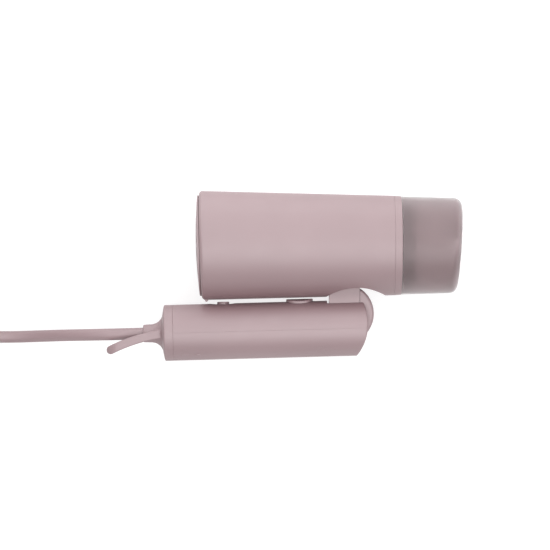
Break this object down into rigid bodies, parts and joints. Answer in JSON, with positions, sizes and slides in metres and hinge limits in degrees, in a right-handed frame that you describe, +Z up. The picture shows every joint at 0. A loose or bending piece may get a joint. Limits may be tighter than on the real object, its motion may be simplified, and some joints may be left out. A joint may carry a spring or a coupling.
{
  "type": "folding hair dryer",
  "caption": "Compact hair dryer folded flat: tapered barrel with domed inlet cover and frosted nozzle, round hinged handle with slider and button, hanging loop and coiled cord.",
  "frame": {"origin": "on the table under the barrel's axis, abreast of the hinge pin", "axes": "+X along the barrel towards the nozzle, +Y across the barrel away from the folded handle, +Z up, along the hinge pin: the dryer lies on its side"},
  "size_m": [0.3913, 0.113, 0.0665],
  "materials": {
    "pink_shell": "satin moulded",
    "pink_rubber": "matte moulded",
    "pink_cord": "matte jacket",
    "tie_fabric": "woven hook and loop",
    "nickel_brass": "nickel plated",
    "frosted_plastic": "frosted translucent",
    "dark_plastic": "moulded",
    "duct_plastic": "moulded",
    "mica": "pressed mica sheet",
    "steel": "plain",
    "brass": "plain",
    "board": "circuit board",
    "wire": "insulated wire"
  },
  "bodies": {
    "handle": {"handle_rear_shell": "pink_shell", "handle_front_shell": "pink_shell", "tail_cap": "pink_shell", "strain_relief": "pink_rubber", "hanging_loop": "pink_rubber", "hinge_pin": "steel", "hinge_washers": "brass", "shell_screws": "steel", "screw_caps": "pink_shell", "control_board": "board", "switch_body": "dark_plastic", "tact_switch": "dark_plastic", "cord_end": "pink_cord", "cord_clamp": "dark_plastic", "clamp_screws": "steel", "supply_wires": "wire", "cord_lead": "pink_cord", "cord_coil": "pink_cord", "coil_tie": "tie_fabric", "plug_body": "pink_rubber", "plug_pins": "nickel_brass"},
    "barrel": {"barrel_shell": "pink_shell", "front_ring": "pink_shell", "outlet_spigot": "pink_shell", "outlet_grille": "dark_plastic", "hinge_neck": "pink_shell", "hinge_nose": "pink_shell", "hinge_screws": "steel", "heat_shield": "mica", "mica_cross": "mica", "heater_coils": "steel", "thermostat": "steel", "thermal_fuse": "steel", "fan_duct": "duct_plastic", "motor_can": "steel", "motor_board": "board", "rectifier_diodes": "dark_plastic", "inlet_guard": "dark_plastic"},
    "rotor": {"impeller": "duct_plastic", "motor_shaft": "steel"},
    "rear_cover": {"rear_cover": "pink_shell", "filter_mesh": "steel"},
    "nozzle_collar": {"nozzle_collar": "frosted_plastic"},
    "nozzle": {"nozzle_shell": "frosted_plastic"},
    "slide_switch": {"slide_switch": "pink_shell"},
    "push_button": {"push_button": "pink_shell"}
  },
  "joints": [
    {"name": "fold", "type": "hinge", "parent": "handle", "child": "barrel", "pos_m": [0, -0.0415, 0.0333], "axis": [0, 0, -1], "range_deg": [0, 88.44]},
    {"name": "rotor_spin", "type": "hinge", "parent": "barrel", "child": "rotor", "pos_m": [-0.064, 0, 0.0333], "axis": [1, 0, 0], "continuous": true},
    {"name": "cover_pull", "type": "slide", "parent": "barrel", "child": "rear_cover", "axis": [-0.9996, -0.0288, 0], "range_m": [0, 0.03]},
    {"name": "nozzle_pull", "type": "slide", "parent": "barrel", "child": "nozzle_collar", "axis": [1, 0, 0], "range_m": [0, 0.03]},
    {"name": "nozzle_turn", "type": "hinge", "parent": "nozzle_collar", "child": "nozzle", "pos_m": [0.04, 0, 0.0333], "axis": [1, 0, 0], "continuous": true},
    {"name": "speed_slide", "type": "slide", "parent": "handle", "child": "slide_switch", "axis": [0.9996, 0.0272, 0], "range_m": [0, 0.005]},
    {"name": "button_press", "type": "slide", "parent": "handle", "child": "push_button", "axis": [0.0272, -0.9996, 0], "range_m": [0, 0.001], "stiffness_N_per_m": 400, "springref_m": -0.001}
  ]
}
